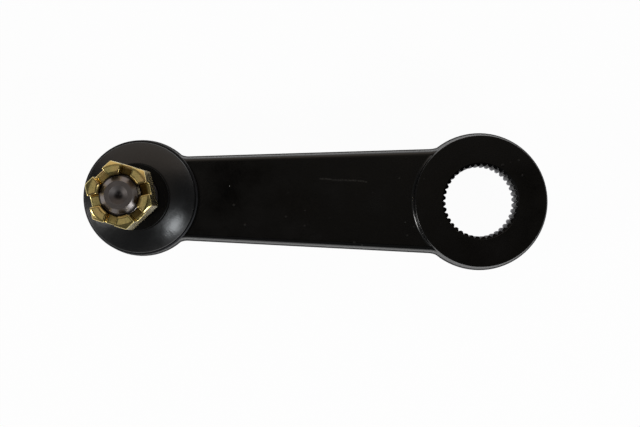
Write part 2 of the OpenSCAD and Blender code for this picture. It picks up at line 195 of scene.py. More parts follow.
class NutSettings(bpy.types.PropertyGroup):
    """Slotted nut."""

    grid: length_setting("Grid", "Cell size of the mesh whose edges are worn round", 0.00022)
    wear: bpy.props.IntProperty(
        name="Wear", description="Rounds of smoothing on the nut's edges", default=16
    )
    top: length_setting("Top", "Height of the lugs over the ball centre", 0.0686)
    slot_depth: length_setting("Slot depth", "Depth of the slots between the lugs", 0.0072)
    half_width: length_setting("Half width", "Distance from the nut's axis to its flats", 0.012)
    thread_radius: length_setting("Thread radius", "Radius of the nut's thread", 0.008)
    plate: colour_setting("Plate", "Colour of the yellow plate", (0.72, 0.55, 0.21))


class BootSettings(bpy.types.PropertyGroup):
    """Rubber boot. Heights are over the socket's shoulder."""

    inner_radius: length_setting("Inner radius", "Radius of the boot's base inside", 0.02065)
    base_radius: length_setting("Base radius", "Radius of the boot's base outside", 0.02255)
    seat_height: length_setting("Seat height", "Height of the boot's seat on the spigot", 0.0031)
    ring_height: length_setting("Ring height", "Height of the base ring's groove", 0.00255)
    ring_groove: length_setting("Ring groove", "Radius of the base ring's groove", 0.00105)
    rim_radius: length_setting("Rim radius", "Radius of the rounded rim", 0.0227)
    rim_height: length_setting("Rim height", "Height of the rounded rim", 0.0050)
    rim_round: length_setting("Rim round", "Radius of the rim's rounding", 0.0007)
    cone_radius: length_setting("Cone radius", "Radius of the cone's top", 0.0140)
    cone_height: length_setting("Cone height", "Height of the cone's top", 0.0101)
    cone_bow: length_setting("Cone bow", "Outward bow of the cone's wall", 0.00035)
    neck_radius: length_setting("Neck radius", "Radius to the middle of the neck ring", 0.0129)
    neck_height: length_setting("Neck height", "Height of the neck ring", 0.01095)
    neck_groove: length_setting("Neck groove", "Radius of the neck ring's groove", 0.00085)
    lip_radius: length_setting("Lip radius", "Radius of the flared lip", 0.0136)
    lip_thickness: length_setting("Lip thickness", "Thickness of the lip at its edge", 0.0012)
    height: length_setting("Height", "Height of the lip's top", 0.0130)
    bore_radius: length_setting("Bore radius", "Radius of the lip's bore", 0.00975)
    bore_low: length_setting("Bore foot", "Height of the lower end of the lip's bore", 0.0108)
    wall: length_setting("Wall", "Thickness of the rubber wall", 0.0019)
    lean_high: length_setting("Lean top", "Height over which the rubber leans as the stud does", 0.0085)
    bend_low: length_setting("Bend foot", "Height from which the rubber bends with the stud", 0.0058)
    bend_high: length_setting("Bend top", "Height over which the rubber moves as the stud does", 0.0104)
    rubber: colour_setting("Rubber", "Colour of the rubber", (0.0030, 0.0030, 0.0031))


class PitmanArmSettings(bpy.types.PropertyGroup):
    """All sizes and colours that a user would change."""

    stage: bpy.props.PointerProperty(type=StageSettings)
    paint: bpy.props.PointerProperty(type=PaintSettings)
    stud: bpy.props.PointerProperty(type=StudSettings)
    nut: bpy.props.PointerProperty(type=NutSettings)
    boot: bpy.props.PointerProperty(type=BootSettings)


# Node trees

def plug(tree, socket, value):
    """Links a socket to another node's output, or sets its value."""
    if isinstance(value, bpy.types.NodeSocket):
        tree.links.new(value, socket)
    else:
        socket.default_value = value


def add(tree, kind, inputs=None, **options):
    """Adds a node, sets its options, and feeds its inputs with values or with other nodes' outputs."""
    made = tree.nodes.new(kind)
    for option, value in options.items():
        setattr(made, option, value)
    for key, value in (inputs or {}).items():
        plug(tree, made.inputs[key], value)
    return made


def maths(tree, operation, *values, clamp=False):
    """Output of a math node over up to three values or sockets."""
    inputs = dict(enumerate(values))
    return add(tree, "ShaderNodeMath", inputs, operation=operation, use_clamp=clamp).outputs[0]


def remap(tree, value, low, high, to_low=0.0, to_high=1.0, smooth=False):
    """Output of a map range node."""
    inputs = {"Value": value, "From Min": low, "From Max": high, "To Min": to_low, "To Max": to_high}
    kind = "SMOOTHSTEP" if smooth else "LINEAR"
    return add(tree, "ShaderNodeMapRange", inputs, interpolation_type=kind).outputs["Result"]


def vectors(tree, operation, *values, output=0):
    """Output of a vector math node over one or two values or sockets."""
    inputs = dict(enumerate(values))
    return add(tree, "ShaderNodeVectorMath", inputs, operation=operation).outputs[output]


def mix_colour(tree, factor, first, second):
    """Output of a colour mix node."""
    made = add(tree, "ShaderNodeMix", data_type="RGBA")
    for key, value in ((0, factor), (6, first), (7, second)):
        plug(tree, made.inputs[key], value)
    return made.outputs[2]


def round_the_axis(tree, place):
    """Distance from the local Z axis, and height along it."""
    split = add(tree, "ShaderNodeSeparateXYZ", {0: place}).outputs
    flat = add(tree, "ShaderNodeCombineXYZ", {0: split["X"], 1: split["Y"]}).outputs[0]
    return vectors(tree, "LENGTH", flat, output="Value"), split["Z"]


def tinted(colour, red, green, blue):
    """A colour with full alpha, its channels made lighter or darker by three factors."""
    return (colour[0] * red, colour[1] * green, colour[2] * blue, 1.0)


def opaque(colour, factor=1.0):
    """A colour with full alpha, made lighter or darker by a factor."""
    return tinted(colour, factor, factor, factor)


def new_group(name, kind, inputs, outputs):
    """A node group with its named sockets, and its input and output nodes."""
    tree = bpy.data.node_groups.new(name, kind)
    for socket, socket_type, default in inputs:
        made = tree.interface.new_socket(socket, in_out="INPUT", socket_type=socket_type)
        if default is not None:
            made.default_value = default
    for socket, socket_type in outputs:
        tree.interface.new_socket(socket, in_out="OUTPUT", socket_type=socket_type)
    return tree, tree.nodes.new("NodeGroupInput"), tree.nodes.new("NodeGroupOutput")


# Shader node groups

def grain_group():
    """Fine grain for relief and broad patches for tone, both from the piece's own coordinates."""
    inputs = (
        ("Vector", "NodeSocketVector", None),
        ("Grain Size", "NodeSocketFloat", 0.0005),
        ("Patch Size", "NodeSocketFloat", 0.01),
    )
    outputs = (("Grain", "NodeSocketFloat"), ("Patches", "NodeSocketFloat"))
    tree, given, result = new_group("Grain", "ShaderNodeTree", inputs, outputs)
    for size, output, detail in (("Grain Size", "Grain", 3.0), ("Patch Size", "Patches", 4.0)):
        scale = maths(tree, "DIVIDE", 1.0, given.outputs[size])
        noise = {"Vector": given.outputs["Vector"], "Scale": scale, "Detail": detail, "Roughness": 0.55}
        texture = add(tree, "ShaderNodeTexNoise", noise)
        tree.links.new(texture.outputs["Fac"], result.inputs[output])
    return tree


def turning_group():
    """Tool marks that run around the local Z axis."""
    inputs = (("Vector", "NodeSocketVector", None), ("Pitch", "NodeSocketFloat", 0.0002))
    outputs = (("Marks", "NodeSocketFloat"),)
    tree, given, result = new_group("Turning Marks", "ShaderNodeTree", inputs, outputs)
    radius, height = round_the_axis(tree, given.outputs["Vector"])
    along = maths(tree, "ADD", radius, height)
    line = {"W": maths(tree, "DIVIDE", along, given.outputs["Pitch"]), "Scale": 1.0, "Detail": 2.0}
    texture = add(tree, "ShaderNodeTexNoise", line, noise_dimensions="1D")
    tree.links.new(texture.outputs["Fac"], result.inputs["Marks"])
    return tree


def specks_group():
    """Sparse round specks: paint nibs, dust and small pits."""
    inputs = (
        ("Vector", "NodeSocketVector", None),
        ("Spacing", "NodeSocketFloat", 0.006),
        ("Size", "NodeSocketFloat", 0.0004),
        ("Share", "NodeSocketFloat", 0.3),
    )
    tree, given, result = new_group("Specks", "ShaderNodeTree", inputs, (("Mask", "NodeSocketFloat"),))
    scale = maths(tree, "DIVIDE", 1.0, given.outputs["Spacing"])
    cells = add(tree, "ShaderNodeTexVoronoi", {"Vector": given.outputs["Vector"], "Scale": scale})
    draw = add(tree, "ShaderNodeSeparateColor", {0: cells.outputs["Color"]})
    chosen = maths(tree, "LESS_THAN", draw.outputs["Red"], given.outputs["Share"])
    largest = maths(tree, "MULTIPLY", given.outputs["Size"], scale)
    reach = maths(tree, "MULTIPLY", largest, draw.outputs["Green"])
    core = maths(tree, "MULTIPLY", reach, 0.3)
    spot = remap(tree, cells.outputs["Distance"], reach, core, smooth=True)
    tree.links.new(maths(tree, "MULTIPLY", spot, chosen), result.inputs["Mask"])
    return tree


def shader_group(name):
    """The shared shader node group of that name, built once."""
    makers = {"Grain": grain_group, "Turning Marks": turning_group, "Specks": specks_group}
    return bpy.data.node_groups.get(name) or makers[name]()


def use_group(tree, name, **inputs):
    """Outputs of a shared shader node group in a material. Its sockets are given with underscores."""
    made = tree.nodes.new("ShaderNodeGroup")
    made.node_tree = shader_group(name)
    for key, value in inputs.items():
        plug(tree, made.inputs[key.replace("_", " ")], value)
    return made.outputs


# Materials

def new_material(slot):
    """A node material named after its slot, with its tree, its shader and its object coordinates."""
    material = bpy.data.materials.new(slot)
    material.use_nodes = True
    tree = material.node_tree
    shader = tree.nodes["Principled BSDF"]
    return material, tree, shader, add(tree, "ShaderNodeTexCoord").outputs["Object"]


def feed(tree, shader, **sockets):
    """Links or sets the shader's sockets, whose names are given with underscores."""
    for name, value in sockets.items():
        plug(tree, shader.inputs[name.replace("_", " ")], value)


def relief(tree, height, depth, strength=1.0, under=None):
    """Normal of a bump of that depth in metres, over another normal if one is given."""
    inputs = {"Height": height, "Distance": depth, "Strength": strength}
    if under is not None:
        inputs["Normal"] = under
    return add(tree, "ShaderNodeBump", inputs).outputs["Normal"]


def socket_coordinates(tree, place):
    """Coordinates with their origin at the ball centre and Z upright."""
    return vectors(tree, "SUBTRACT", place, BALL_CENTRE)


def stud_coordinates(tree, place):
    """Coordinates with their origin at the ball centre and Z along the stud."""
    turn = {"Vector": socket_coordinates(tree, place), "Angle": -STUD_LEAN}
    return add(tree, "ShaderNodeVectorRotate", turn, rotation_type="Y_AXIS").outputs[0]


def line_mask(tree, place, first, last, width):
    """Mask of a thin straight line between two points."""
    way = Vector(last) - Vector(first)
    away = vectors(tree, "SUBTRACT", place, first)
    along = vectors(tree, "DOT_PRODUCT", away, way, output="Value")
    share = maths(tree, "DIVIDE", along, way.length_squared, clamp=True)
    foot = add(tree, "ShaderNodeVectorMath", {0: way, "Scale": share}, operation="SCALE").outputs[0]
    gap = vectors(tree, "DISTANCE", away, foot, output="Value")
    return remap(tree, gap, width, width / 3, smooth=True)


def scratch_mask(tree, place, grain):
    """Mask of the scratch in the paint, wavy and broken up."""
    sway = 0.001
    wave = {1: remap(tree, grain["Patches"], 0.0, 1.0, -sway, sway)}
    moved = vectors(tree, "ADD", place, add(tree, "ShaderNodeCombineXYZ", wave).outputs[0])
    broken = remap(tree, grain["Grain"], 0.35, 0.6, 0.2, 0.75)
    return maths(tree, "MULTIPLY", line_mask(tree, moved, *SCRATCH), broken)


def black_paint(settings):
    """Gloss paint with a forged skin under it and nibs in it, which thins out down the serrations."""
    material, tree, shader, place = new_material("black_paint")
    grain = use_group(tree, "Grain", Vector=place, Grain_Size=0.0007, Patch_Size=0.016)
    large = use_group(tree, "Specks", Vector=place, Spacing=0.008, Size=0.0011, Share=0.35)["Mask"]
    small = use_group(tree, "Specks", Vector=place, Spacing=0.0035, Size=0.0007, Share=0.45)["Mask"]
    nibs = maths(tree, "MAXIMUM", large, maths(tree, "MULTIPLY", small, 0.7))
    scratch = scratch_mask(tree, place, grain)
    light = maths(tree, "MAXIMUM", maths(tree, "MULTIPLY", nibs, 0.6), scratch)
    light_tone = (0.045, 0.044, 0.042, 1.0)
    tone = mix_colour(tree, grain["Patches"], opaque(settings.colour, 0.75), opaque(settings.colour, 1.3))
    dusty = mix_colour(tree, light, tone, light_tone)

    # Bare steel down the serrations
    radius, height = round_the_axis(tree, place)
    inside = maths(tree, "LESS_THAN", radius, BORE_RADIUS + TOOTH_REACH)
    bare = maths(tree, "MULTIPLY", inside, remap(tree, height, ARM_HIGH.z / 4, ARM_LOW.z))

    # Gloss on the flat faces, a duller forged skin on the steep ones
    gloss = remap(tree, maths(tree, "ADD", grain["Patches"], inside), 0.3, 1.4, 0.11, 0.55)
    facing = add(tree, "ShaderNodeNewGeometry").outputs["Normal"]
    level = maths(tree, "ABSOLUTE", add(tree, "ShaderNodeSeparateXYZ", {0: facing}).outputs["Z"])
    skin = relief(tree, grain["Patches"], 0.00008, 0.5)
    peel = relief(tree, grain["Grain"], 0.00001, 0.5, skin)
    feed(
        tree, shader,
        Base_Color=mix_colour(tree, bare, dusty, opaque(settings.bore_steel)),
        Metallic=bare,
        Roughness=maths(tree, "MAXIMUM", gloss, remap(tree, level, 0.6, 0.2, 0.0, 0.5)),
        Specular_IOR_Level=remap(tree, inside, 0.0, 1.0, 0.5, 0.15),
        Normal=relief(tree, nibs, 0.00012, 1.0, peel),
    )
    return material


def stud_dirt_and_shade(tree, local, stud):
    """Mask of the dirt in the stud's centre drilling, and of painted shade on the thread's crests near the tip,
    under the nut's lugs.
    """
    radius, height = round_the_axis(tree, local)
    guard, thread = stud.guard_radius, stud.thread_radius
    drilling = remap(tree, radius, guard * 1.06, guard * 0.96, 0.0, 0.45)
    bottom = remap(tree, radius, guard * 0.6, guard * 0.3, 0.0, 0.5)
    # Painted shade: the thread's crests near the tip are darkened where the nut's lugs shade them
    end = maths(tree, "GREATER_THAN", height, stud.tip - THREAD_SHADE_REACH)
    shaded_crests = remap(tree, radius, thread - THREAD_SHADE_START, thread - THREAD_SHADE_FULL)
    inside = maths(tree, "ADD", drilling, bottom)
    return maths(tree, "ADD", inside, maths(tree, "MULTIPLY", shaded_crests, end))


def turned_steel(slot, colour, roughness, coordinates, pitch, stud=None):
    """Steel with tool marks around its axis and an uneven tone; if it is the stud's, with dirt in its drilling and
    painted shade at its thread's end.
    """
    material, tree, shader, place = new_material(slot)
    local = coordinates(tree, place)
    marks = use_group(tree, "Turning Marks", Vector=local, Pitch=pitch)["Marks"]
    grain = use_group(tree, "Grain", Vector=place, Grain_Size=0.0004, Patch_Size=0.004)
    uneven = maths(tree, "MULTIPLY", maths(tree, "ADD", marks, grain["Patches"]), 0.5)
    tone = mix_colour(tree, uneven, opaque(colour, 0.7), opaque(colour, 1.25))
    finish = remap(tree, uneven, 0.3, 0.7, roughness - 0.08, roughness + 0.1)
    if stud is not None:
        # Dirt in the drilling, and painted shade on the thread's crests near the tip
        dirt_and_shade = stud_dirt_and_shade(tree, local, stud)
        tone = mix_colour(tree, dirt_and_shade, tone, opaque(colour, 0.1))
        finish = maths(tree, "ADD", finish, remap(tree, dirt_and_shade, 0.0, 0.4, 0.0, 0.25))
    feed(
        tree, shader,
        Base_Color=tone,
        Metallic=1.0,
        Roughness=finish,
        Normal=relief(tree, marks, 0.00002, 0.6, relief(tree, grain["Grain"], 0.00001, 0.4)),
    )
    return material


def nut_painted_shade(tree, place, nut):
    """Mask of painted shade in the nut's slots and beside its thread, most of it on one side."""
    local = stud_coordinates(tree, place)
    radius, height = round_the_axis(tree, local)
    floor = nut.top - nut.slot_depth
    low = remap(tree, height, *(floor + rise for rise in NUT_SHADE_FLOOR), smooth=True)
    inner = remap(tree, radius, *(nut.half_width - gap for gap in NUT_SHADE_FLATS), smooth=True)
    beside = remap(tree, radius, *(nut.thread_radius + gap for gap in NUT_SHADE_THREAD), smooth=True)
    places = maths(tree, "MAXIMUM", maths(tree, "MULTIPLY", low, inner), beside)
    toward = vectors(tree, "DOT_PRODUCT", local, NUT_SHADE_SIDE, output="Value")
    return maths(tree, "MULTIPLY", places, remap(tree, toward, *NUT_SHADE_STRETCH))


def yellow_zinc(settings):
    """Yellow plate, olive and reddish in patches, with small pits, and with painted shade in the slots and beside
    the thread.
    """
    material, tree, shader, place = new_material("yellow_zinc")
    grain = use_group(tree, "Grain", Vector=place, Grain_Size=0.0006, Patch_Size=0.006)
    pits = use_group(tree, "Specks", Vector=place, Spacing=0.0016, Size=0.0005, Share=0.3)["Mask"]
    gold = settings.plate
    olive, copper = tinted(gold, 0.74, 0.82, 0.85), tinted(gold, 0.92, 0.74, 0.95)
    broad = mix_colour(tree, remap(tree, grain["Patches"], 0.35, 0.6), olive, opaque(gold))
    tint = mix_colour(tree, remap(tree, grain["Patches"], 0.58, 0.72, 0.0, 0.8), broad, copper)
    pitted = mix_colour(tree, maths(tree, "MULTIPLY", pits, 0.5), tint, opaque(gold, 0.35))
    # Painted shade: darker in the slots and beside the thread, most of it on one side
    painted_shade = nut_painted_shade(tree, place, settings)
    feed(
        tree, shader,
        Base_Color=mix_colour(tree, painted_shade, pitted, tinted(gold, 0.14, 0.10, 0.05)),
        Metallic=1.0,
        Roughness=remap(tree, maths(tree, "ADD", grain["Grain"], painted_shade), 0.3, 1.5, 0.14, 0.45),
        Normal=relief(tree, grain["Patches"], 0.00006, 0.3),
    )
    return material


def boot_rubber(settings):
    """Satin moulded rubber with a light bloom and a few dust specks, dull around the lip."""
    material, tree, shader, place = new_material("boot_rubber")
    grain = use_group(tree, "Grain", Vector=place, Grain_Size=0.0004, Patch_Size=0.009)
    dust = use_group(tree, "Specks", Vector=place, Spacing=0.005, Size=0.0005, Share=0.2)["Mask"]
    dust_tone = (0.12, 0.11, 0.10, 1.0)
    bloom = mix_colour(tree, grain["Patches"], opaque(settings.rubber, 0.8), opaque(settings.rubber, 1.3))
    height = round_the_axis(tree, stud_coordinates(tree, place))[1]
    lip = BOOT_LOW.z - BALL_CENTRE.z + settings.neck_height
    waves = relief(tree, grain["Patches"], 0.0004, 0.5)
    feed(
        tree, shader,
        Base_Color=mix_colour(tree, maths(tree, "MULTIPLY", dust, 0.5), bloom, dust_tone),
        Roughness=remap(tree, grain["Patches"], 0.3, 0.7, 0.27, 0.35),
        Specular_IOR_Level=remap(tree, height, lip, lip + 0.0005, 0.5, 0.15),
        Normal=relief(tree, grain["Grain"], 0.000012, 0.5, waves),
    )
    return material


def seat_plastic():
    """Pale bearing plastic with a faint moulded grain."""
    material, tree, shader, place = new_material("seat_plastic")
    grain = use_group(tree, "Grain", Vector=place, Grain_Size=0.0005, Patch_Size=0.008)
    shade, pale = (0.60, 0.57, 0.50, 1.0), (0.74, 0.72, 0.66, 1.0)
    feed(
        tree, shader,
        Base_Color=mix_colour(tree, grain["Patches"], shade, pale),
        Roughness=remap(tree, grain["Grain"], 0.3, 0.7, 0.38, 0.52),
        Normal=relief(tree, grain["Grain"], 0.00001, 0.4),
    )
    return material


# Meshes

def new_piece(name, mesh):
    """Links a mesh to the scene as a piece at the origin."""
    piece = bpy.data.objects.new(name, mesh)
    bpy.context.scene.collection.objects.link(piece)
    return piece


def bake_modifiers(piece):
    """Turns a piece's modifiers into its mesh, and removes them."""
    bpy.context.view_layer.update()
    evaluated = piece.evaluated_get(bpy.context.evaluated_depsgraph_get())
    mesh = bpy.data.meshes.new_from_object(evaluated)
    old = piece.data
    piece.modifiers.clear()
    piece.data = mesh
    bpy.data.meshes.remove(old)
    mesh.name = piece.name
    return piece


def merged_copy(node, name):
    """A copy of a CAD node with its loose triangles joined and its edges smooth or sharp by angle."""
    mesh = bpy.data.meshes.new(name)
    form = bmesh.new()
    form.from_mesh(frame["nodes"][node].data)
    bmesh.ops.remove_doubles(form, verts=form.verts, dist=MERGE)
    form.to_mesh(mesh)
    form.free()
    if "custom_normal" in mesh.attributes:
        mesh.attributes.remove(mesh.attributes["custom_normal"])
    mesh.shade_smooth()
    mesh.set_sharp_from_angle(angle=SHARP_ANGLE)
    return new_piece(name, mesh)


def weigh_normals(piece):
    """Keeps flat faces flat beside rounded edges."""
    weights = piece.modifiers.new("Flat faces", "WEIGHTED_NORMAL")
    weights.keep_sharp = True
    weights.weight = 100


def set_material(piece, material):
    """Gives a piece or a CAD node one material."""
    piece.data.materials.clear()
    piece.data.materials.append(material)


def arc(centre, radius, start, end, steps):
    """Points of an arc in the plane of a profile, with angles in degrees."""
    turns = (math.radians(start + (end - start) * i / steps) for i in range(steps + 1))
    return [(centre[0] + radius * math.cos(a), centre[1] + radius * math.sin(a)) for a in turns]


def straight(first, last, steps, bow=0.0):
    """Points of a line in the plane of a profile, without the first one, bowed to the right of its way."""
    way = (Vector(last) - Vector(first)).to_2d()
    right = Vector((way.y, -way.x)).normalized()
    shares = [(i + 1) / steps for i in range(steps)]
    return [tuple(Vector(first) + way * s + right * bow * 4 * s * (1 - s)) for s in shares]


def turned_tree():
    """Geometry nodes that turn a profile around the stud's axis, cut a thread in it and lean it."""
    inputs = (
        ("Profile", "NodeSocketGeometry", None),
        ("Sides", "NodeSocketInt", 96),
        ("Centre", "NodeSocketVector", None),
        ("Lean", "NodeSocketFloat", 0.0),
        ("Lean From", "NodeSocketFloat", -2.0),
        ("Lean To", "NodeSocketFloat", -1.0),
        ("Thread Radius", "NodeSocketFloat", 1.0),
        ("Thread Depth", "NodeSocketFloat", 0.0),
        ("Thread Pitch", "NodeSocketFloat", 0.001),
        ("Thread From", "NodeSocketFloat", 1.0),
        ("Sharp Angle", "NodeSocketFloat", SHARP_ANGLE),
        ("Material", "NodeSocketMaterial", None),
    )
    outputs = (("Piece", "NodeSocketGeometry"),)
    tree, given, result = new_group("Turned Piece", "GeometryNodeTree", inputs, outputs)
    values = given.outputs
    profile = add(tree, "GeometryNodeAttributeDomainSize", {0: values["Profile"]}, component="MESH")
    columns = maths(tree, "ADD", values["Sides"], 1.0)
    size = {"Vertices X": profile.outputs["Point Count"], "Vertices Y": columns}
    grid = add(tree, "GeometryNodeMeshGrid", size).outputs["Mesh"]

    # Row and column of each point, and the profile's radius and height on that row
    index = add(tree, "GeometryNodeInputIndex").outputs[0]
    row = add(tree, "FunctionNodeIntegerMath", {0: index, 1: columns}, operation="DIVIDE_FLOOR").outputs[0]
    column = add(tree, "FunctionNodeIntegerMath", {0: index, 1: columns}, operation="MODULO").outputs[0]
    position = add(tree, "GeometryNodeInputPosition").outputs[0]
    sample = {"Geometry": values["Profile"], "Value": position, "Index": row}
    sampled = add(tree, "GeometryNodeSampleIndex", sample, data_type="FLOAT_VECTOR", domain="POINT")
    point = add(tree, "ShaderNodeSeparateXYZ", {0: sampled.outputs[0]})
    radius, height = point.outputs["X"], point.outputs["Z"]
    share = maths(tree, "DIVIDE", column, values["Sides"])

    # Thread: a groove with a flat crest and a flat root, which fades in over its first turn
    rise = maths(tree, "SUBTRACT", maths(tree, "DIVIDE", height, values["Thread Pitch"]), share)
    away = maths(tree, "ABSOLUTE", maths(tree, "SUBTRACT", maths(tree, "FRACT", rise), 0.5))
    groove = remap(tree, away, 0.5 - CREST_FLAT / 2, ROOT_FLAT / 2)
    run_in = maths(tree, "ADD", values["Thread From"], values["Thread Pitch"])
    fade = remap(tree, height, values["Thread From"], run_in)
    cut = maths(tree, "MULTIPLY", maths(tree, "MULTIPLY", groove, fade), values["Thread Depth"])
    root = maths(tree, "MINIMUM", radius, maths(tree, "SUBTRACT", values["Thread Radius"], cut))
    threaded = maths(tree, "GREATER_THAN", height, values["Thread From"])
    change = maths(tree, "MULTIPLY", threaded, maths(tree, "SUBTRACT", root, radius))
    turned = maths(tree, "ADD", radius, change)

    # Place of the point: around the axis, then leaned about the centre
    angle = maths(tree, "MULTIPLY", share, math.tau)
    around = {
        0: maths(tree, "MULTIPLY", turned, maths(tree, "COSINE", angle)),
        1: maths(tree, "MULTIPLY", turned, maths(tree, "SINE", angle)),
        2: height,
    }
    upright = add(tree, "ShaderNodeCombineXYZ", around).outputs[0]
    lean_share = remap(tree, height, values["Lean From"], values["Lean To"], smooth=True)
    lean = {"Vector": upright, "Angle": maths(tree, "MULTIPLY", lean_share, values["Lean"])}
    leaned = add(tree, "ShaderNodeVectorRotate", lean, rotation_type="Y_AXIS").outputs[0]
    placed = vectors(tree, "ADD", leaned, values["Centre"])
    shaped = add(tree, "GeometryNodeSetPosition", {"Geometry": grid, "Position": placed}).outputs[0]
    closed = add(tree, "GeometryNodeMergeByDistance", {"Geometry": shaped, "Distance": MERGE}).outputs[0]
    outward = add(tree, "GeometryNodeFlipFaces", {0: closed}).outputs[0]

    # Smooth faces with sharp edges, as one mesh with its material
    edge_angle = add(tree, "GeometryNodeInputMeshEdgeAngle").outputs[0]
    crisp = maths(tree, "GREATER_THAN", edge_angle, values["Sharp Angle"])
    sharp = {"Geometry": outward, "Selection": crisp, "Shade Smooth": False}
    edged = add(tree, "GeometryNodeSetShadeSmooth", sharp, domain="EDGE").outputs[0]
    whole = add(tree, "GeometryNodeRealizeInstances", {0: edged}).outputs[0]
    dressed = add(tree, "GeometryNodeSetMaterial", {"Geometry": whole, "Material": values["Material"]})
    tree.links.new(dressed.outputs[0], result.inputs["Piece"])
    return tree


def turned_piece(name, profile, **inputs):
    """A piece turned from a profile of radius and height, which runs up its outside."""
    mesh = bpy.data.meshes.new(name)
    links = [(i, i + 1) for i in range(len(profile) - 1)]
    mesh.from_pydata([(radius, 0.0, height) for radius, height in profile], links, [])
    piece = new_piece(name, mesh)
    tree = bpy.data.node_groups.get("Turned Piece") or turned_tree()
    turning = piece.modifiers.new("Turned", "NODES")
    turning.node_group = tree
    sockets = {s.name: s.identifier for s in tree.interface.items_tree if s.in_out == "INPUT"}
    for key, value in inputs.items():
        turning[sockets[key.replace("_", " ")]] = value
    return bake_modifiers(piece)


def stud_profile(s):
    """Profile of the ball stud from the flat under the ball to the centre drilling in its tip."""
    low = -math.sqrt(s.ball_radius**2 - s.ball_flat**2)
    first = math.degrees(math.atan2(low, s.ball_flat))
    last = math.degrees(math.acos(s.neck_radius / s.ball_radius))
    groove_r = s.thread_radius - s.relief_depth
    groove_top = s.taper_high + s.relief_length
    thread_low = groove_top + s.relief_depth
    thread_high = s.tip - s.tip_chamfer
    flat_r = s.thread_radius - s.tip_chamfer
    turns = round((thread_high - thread_low) / s.thread_pitch)
    points = [(0.0, low)]
    points += arc((0.0, 0.0), s.ball_radius, first, last, 40)
    points += straight(points[-1], (s.neck_radius, s.neck_top), 2)
    points += straight(points[-1], (s.taper_low_radius, s.taper_low - TAPER_FOOT), 4)
    points += straight(points[-1], (s.taper_low_radius, s.taper_low), 2)
    points += straight(points[-1], (s.thread_radius + TAPER_EDGE / 8, s.taper_high - TAPER_EDGE), 12)
    points += straight(points[-1], (s.thread_radius - TAPER_EDGE / 2, s.taper_high), 1)
    points += straight(points[-1], (groove_r + TAPER_EDGE, s.taper_high), 1)
    points += straight(points[-1], (groove_r, s.taper_high + TAPER_EDGE), 1)
    points += straight(points[-1], (groove_r, groove_top), 2)
    points += straight(points[-1], (s.thread_radius, thread_low), 8)
    points += straight(points[-1], (s.thread_radius, thread_high), turns * 12)
    points += straight(points[-1], (flat_r, s.tip), 16)
    points += straight(points[-1], (s.guard_radius, s.tip), 4)
    guard_depth = (s.guard_radius - s.centre_radius) * math.tan(s.guard_angle)
    points += straight(points[-1], (s.centre_radius, s.tip - guard_depth), 4)
    points += straight(points[-1], (0.0, s.tip - s.centre_depth), 6)
    return points


def boot_profile(s, base):
    """Closed profile of the boot's wall over the ball centre, up the outside and down the inside."""
    rim = Vector((s.rim_radius - s.rim_round, s.rim_height - s.rim_round))
    cone_top = Vector((s.cone_radius, s.cone_height))
    reach = cone_top - rim
    rim_end = math.atan2(reach.y, reach.x) - math.acos(s.rim_round / reach.length)
    outward = Vector((math.cos(rim_end), math.sin(rim_end)))
    cone_foot = rim + outward * s.rim_round
    foot = BOOT_LOW.z - BALL_CENTRE.z - base
    corner = s.lip_thickness / 10
    points = [(s.inner_radius, foot), (s.base_radius, foot)]
    points += arc((s.base_radius + s.ring_groove - RING_SINK, s.ring_height), s.ring_groove, 240, 120, 10)
    points += arc(rim, s.rim_round, -30, math.degrees(rim_end), 10)
    points += straight(cone_foot, cone_top, 20, s.cone_bow)
    points += arc((s.neck_radius, s.neck_height), s.neck_groove, 240, 120, 10)
    points += [(s.lip_radius, s.height - s.lip_thickness)]
    points += straight(points[-1], (s.lip_radius, s.height - corner), 3)
    points += arc((s.lip_radius - corner, s.height - corner), corner, 0, 90, 4)[1:]
    points += straight(points[-1], (s.bore_radius, s.height), 4)
    points += straight(points[-1], (s.bore_radius, s.bore_low), 4)
    points += straight(points[-1], cone_top - outward * s.wall, 4)
    points += straight(points[-1], (cone_foot + cone_top) / 2 - outward * s.wall, 8)
    points += straight(points[-1], (s.inner_radius, s.seat_height), 8)
    points += straight(points[-1], points[0], 4)
    return [(radius, height + base) for radius, height in points]


# Operators

